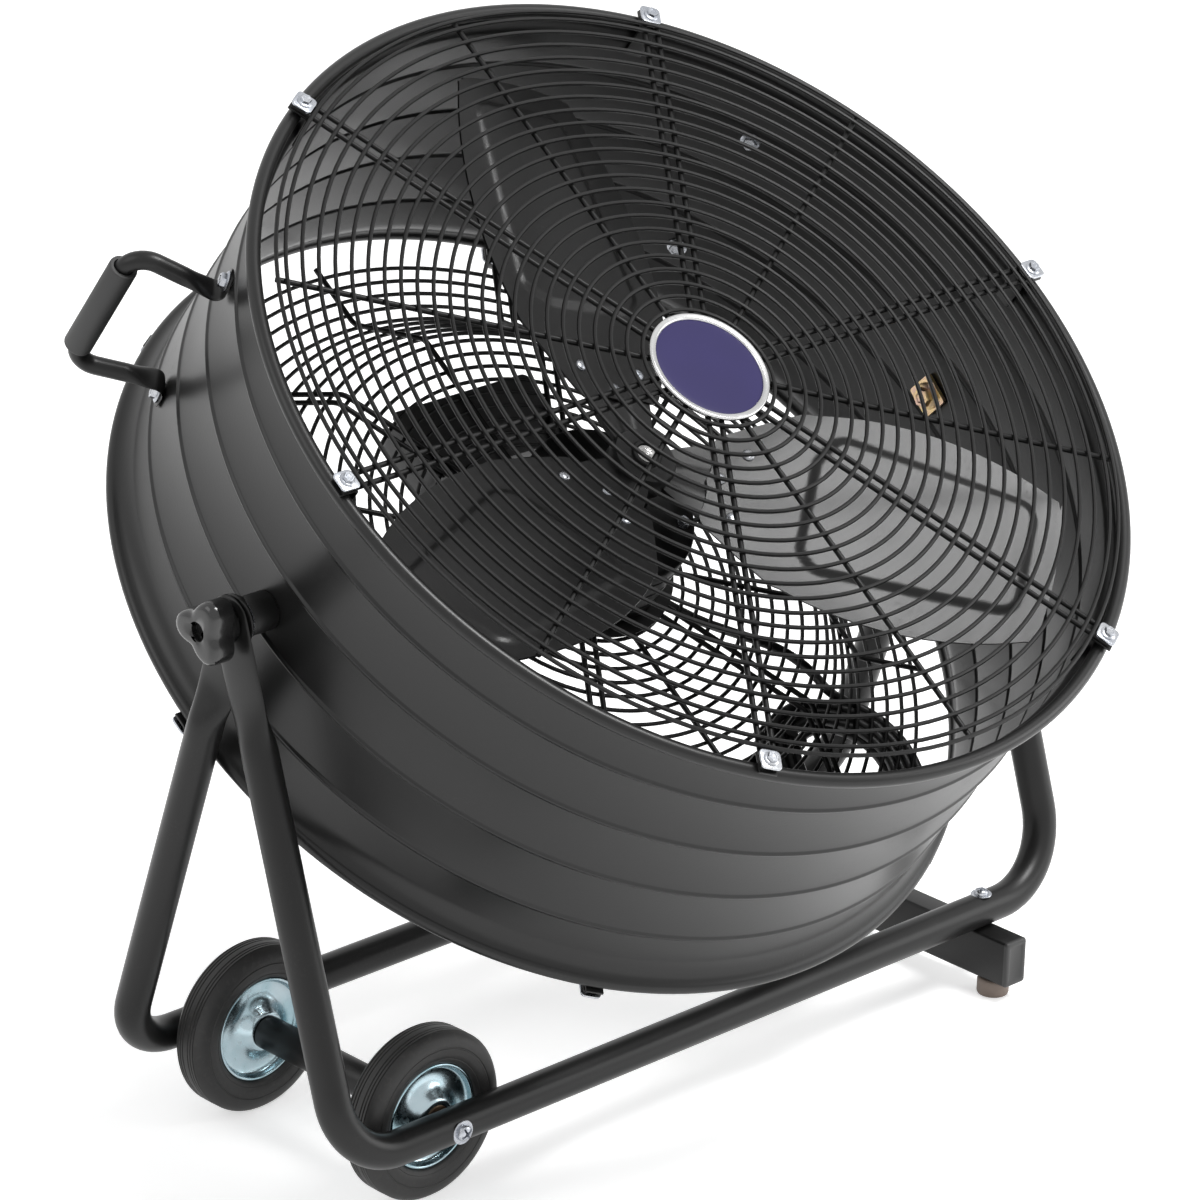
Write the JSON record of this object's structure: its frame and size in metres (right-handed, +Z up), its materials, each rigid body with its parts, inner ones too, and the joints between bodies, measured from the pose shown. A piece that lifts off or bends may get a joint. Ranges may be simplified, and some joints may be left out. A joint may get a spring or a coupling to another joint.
{
  "type": "drum fan",
  "caption": "Floor-standing drum fan: a guarded steel drum with a bladed fan and motor, tilting on a wheeled tube stand with side knobs and carrying handles.",
  "frame": {"origin": "centre of the overall footprint at floor level", "axes": "+X along the tilt axis, away from the wheels and towards the rubber feet; the drum blows towards -Y and upwards; +Z up"},
  "size_m": [0.7542, 0.6818, 0.7161],
  "materials": {
    "drum_paint": "satin black powder coat",
    "stand_paint": "semi-gloss black paint",
    "guard_wire": "satin dark coated wire",
    "blade_paint": "satin dark grey paint",
    "hub_metal": "satin dark grey",
    "shaft_steel": "bright turned",
    "zinc": "zinc plated",
    "yellow_zinc": "yellow zinc plated",
    "motor_paint": "satin black",
    "box_plastic": "fine grain black",
    "knob_plastic": "glossy black",
    "grip_rubber": "matt dark grey",
    "foot_rubber": "matt brownish grey",
    "tyre_rubber": "satin black",
    "rim_steel": "zinc plated pressing",
    "bush_bronze": "dull",
    "cap_plastic": "black",
    "badge_blue": "plain blue",
    "badge_silver": "satin silver",
    "spacer_paint": "dark"
  },
  "bodies": {
    "stand": {"front_tube_frame": "stand_paint", "rear_tube_frame": "stand_paint", "foot_bar": "stand_paint", "bar_end_caps": "cap_plastic", "foot_pads": "foot_rubber", "foot_bar_bolts": "zinc", "axle_rod": "zinc", "axle_sleeve": "stand_paint", "wheel_bushes": "cap_plastic", "pivot_washers": "zinc"},
    "front_wheel": {"front_wheel_rim": "rim_steel", "front_wheel_tyre": "tyre_rubber"},
    "rear_wheel": {"rear_wheel_rim": "rim_steel", "rear_wheel_tyre": "tyre_rubber"},
    "drum": {"drum_shell": "drum_paint", "pivot_studs": "yellow_zinc", "pivot_spacers": "spacer_paint", "handle_bars": "stand_paint", "grips": "grip_rubber", "handle_bolts": "zinc", "front_guard_spokes": "guard_wire", "front_guard_rings": "guard_wire", "rear_guard_spokes": "guard_wire", "rear_guard_rings": "guard_wire", "front_ears": "drum_paint", "rear_ears": "drum_paint", "front_clips": "zinc", "rear_clips": "zinc", "front_clip_screws": "zinc", "rear_clip_screws": "zinc", "badge_bezel": "badge_silver", "badge_disc": "badge_blue", "motor_plate": "motor_paint", "motor_housing": "motor_paint", "switch_box_base": "box_plastic", "switch_box_cover": "box_plastic"},
    "fan": {"fan_spider": "hub_metal", "fan_shaft": "shaft_steel", "blade_1": "blade_paint", "blade_2": "blade_paint", "blade_3": "blade_paint", "blade_rivets": "zinc"},
    "left_knob": {"left_knob": "knob_plastic"},
    "right_knob": {"right_knob": "knob_plastic"},
    "speed_knob": {"speed_knob": "knob_plastic"}
  },
  "joints": [
    {"name": "drum_tilt", "type": "hinge", "parent": "stand", "child": "drum", "pos_m": [0, 0.00439, 0.415], "axis": [-1, 0, 0], "range_deg": [-74, 35.8]},
    {"name": "fan_spin", "type": "hinge", "parent": "drum", "child": "fan", "pos_m": [0, 0.00439, 0.415], "axis": [0, -0.585, 0.8111], "continuous": true},
    {"name": "front_wheel_spin", "type": "hinge", "parent": "stand", "child": "front_wheel", "pos_m": [-0.253, -0.08261, 0.061], "axis": [0, 1, 0], "continuous": true},
    {"name": "rear_wheel_spin", "type": "hinge", "parent": "stand", "child": "rear_wheel", "pos_m": [-0.253, 0.09139, 0.061], "axis": [0, 1, 0], "continuous": true},
    {"name": "left_knob_turn", "type": "hinge", "parent": "drum", "child": "left_knob", "pos_m": [-0.36, 0.00439, 0.415], "axis": [-1, 0, 0], "range_deg": [0, 360]},
    {"name": "right_knob_turn", "type": "hinge", "parent": "drum", "child": "right_knob", "pos_m": [0.36, 0.00439, 0.415], "axis": [1, 0, 0], "range_deg": [0, 360]},
    {"name": "speed_knob_turn", "type": "hinge", "parent": "drum", "child": "speed_knob", "pos_m": [0.0325, 0.16444, 0.39481], "axis": [0, 0.585, -0.8111], "range_deg": [0, 135]}
  ]
}
